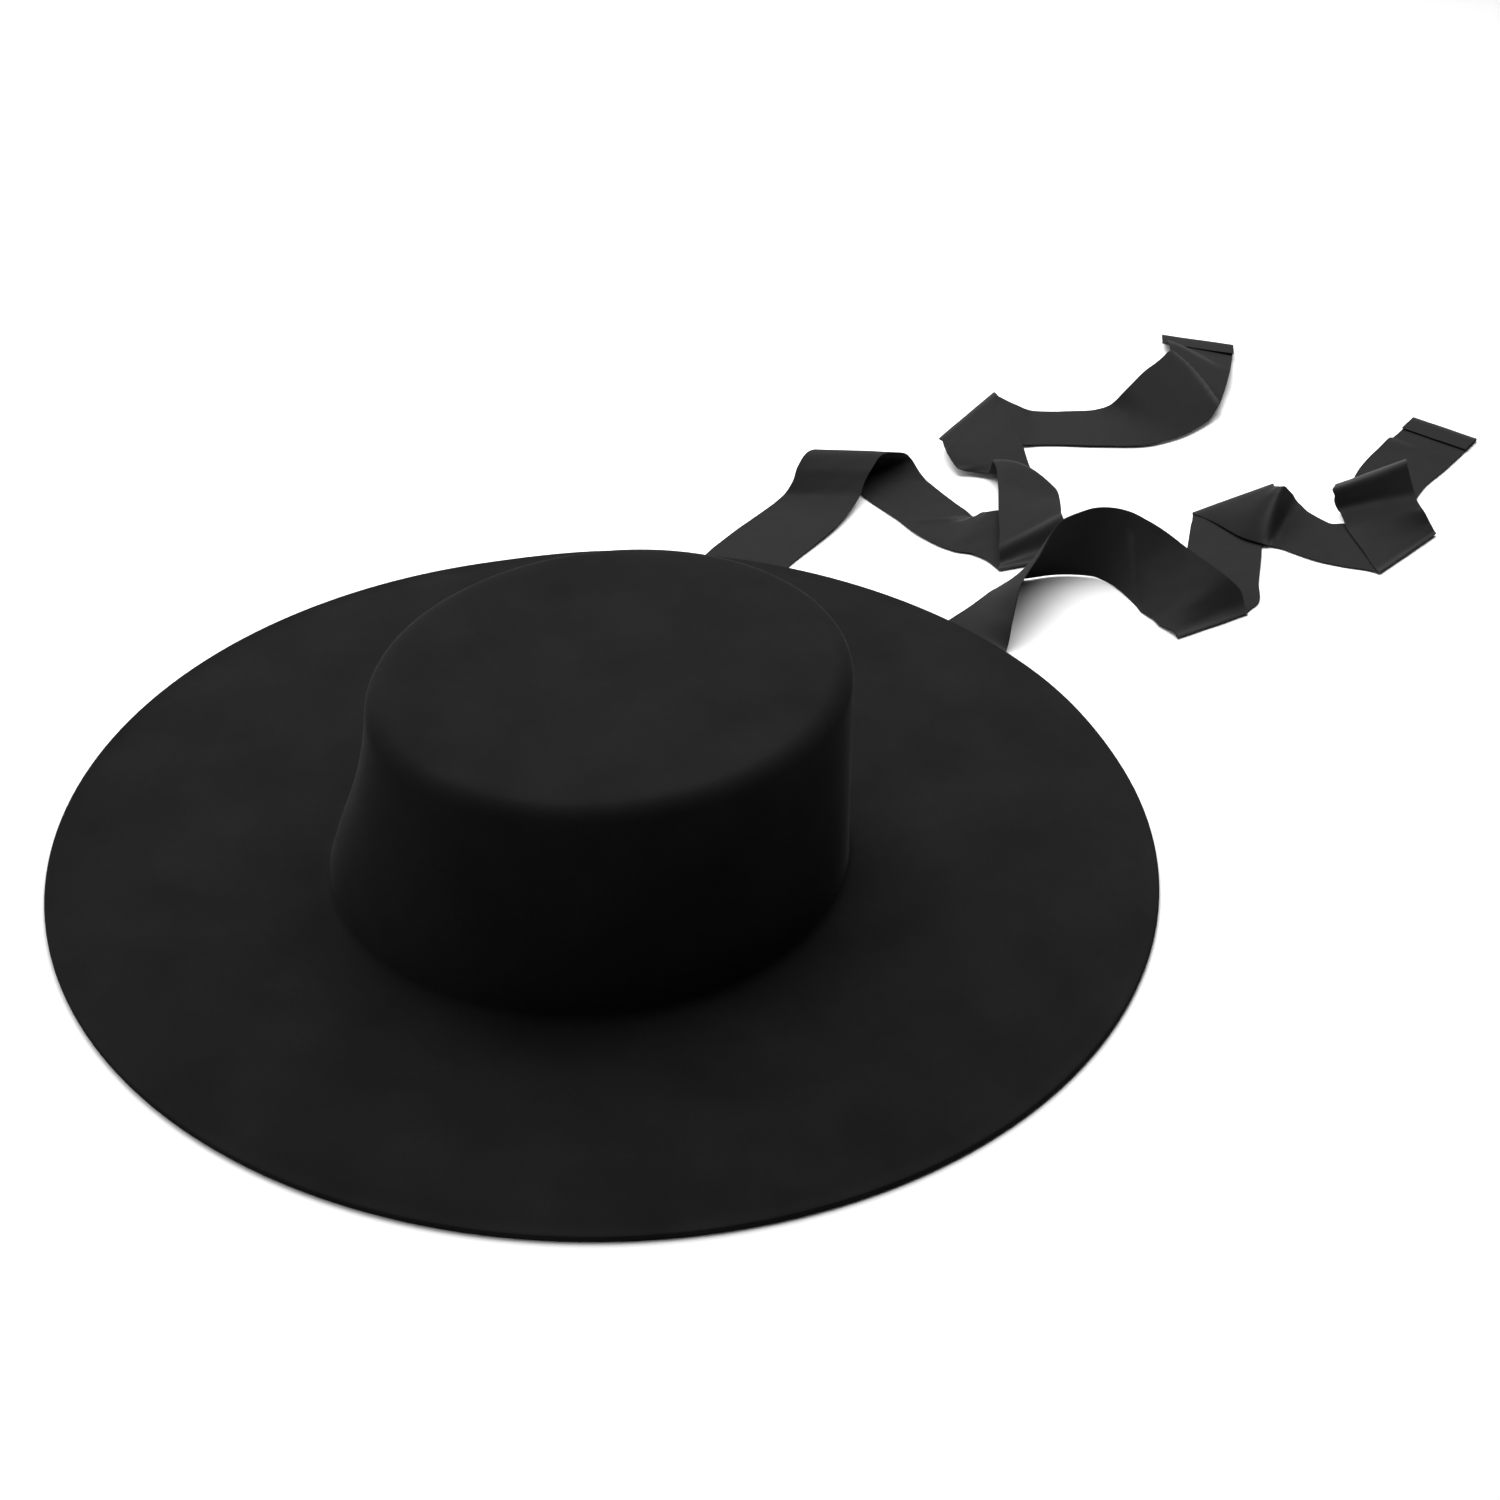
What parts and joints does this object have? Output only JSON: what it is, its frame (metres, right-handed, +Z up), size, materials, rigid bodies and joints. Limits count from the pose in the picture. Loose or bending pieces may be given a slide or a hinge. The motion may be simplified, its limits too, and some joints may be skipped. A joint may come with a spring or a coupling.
{
  "type": "wide-brim felt hat",
  "caption": "Wide-brim felt hat with a low flat-topped crown and a gently arched oval brim, with long flat ribbon ties lying out behind it.",
  "frame": {"origin": "centre of the head opening, in the plane that the hat rests on", "axes": "+Z up through the crown, +Y towards the back of the hat where the ties come out, +X towards the wearer's left"},
  "size_m": [0.415, 0.698, 0.087],
  "materials": {
    "felt": "matte brushed wool felt, black",
    "ribbon": "matte woven ribbon, black"
  },
  "bodies": {
    "root": {"felt_body": "felt", "ribbon_tie_left": "ribbon", "ribbon_tie_right": "ribbon"}
  },
  "joints": []
}
